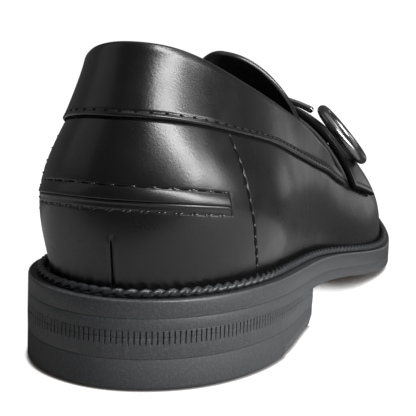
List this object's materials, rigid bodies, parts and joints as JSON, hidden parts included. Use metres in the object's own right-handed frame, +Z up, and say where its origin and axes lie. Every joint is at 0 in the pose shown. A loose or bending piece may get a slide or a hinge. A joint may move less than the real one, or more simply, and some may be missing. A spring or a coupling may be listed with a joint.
{
  "type": "loafer shoe",
  "caption": "Flat leather loafer with a ring-and-bar trim on its saddle strap, a folded heel strip, a round-topped tongue and a low rubber heel with a ribbed band.",
  "frame": {"origin": "on the floor, at the middle of the shoe's length and width", "axes": "+Z up, +Y from the heel to the toe, +X to the outer side of the right foot"},
  "size_m": [0.0928, 0.276, 0.0871],
  "materials": {
    "leather_upper": "polished",
    "leather_tongue": "polished",
    "leather_strap": "polished",
    "leather_insole": "matte",
    "rubber_welt": "satin",
    "rubber_outsole": "matte",
    "rubber_heel": "satin",
    "rubber_top_lift": "matte",
    "gunmetal": "polished"
  },
  "bodies": {
    "root": {"upper": "leather_upper", "tongue": "leather_tongue", "saddle_strap": "leather_strap", "insole": "leather_insole", "welt": "rubber_welt", "outsole": "rubber_outsole", "heel": "rubber_heel", "top_lift": "rubber_top_lift", "ring_outer": "gunmetal", "ring_inner": "gunmetal", "bit_bar": "gunmetal"}
  },
  "joints": []
}
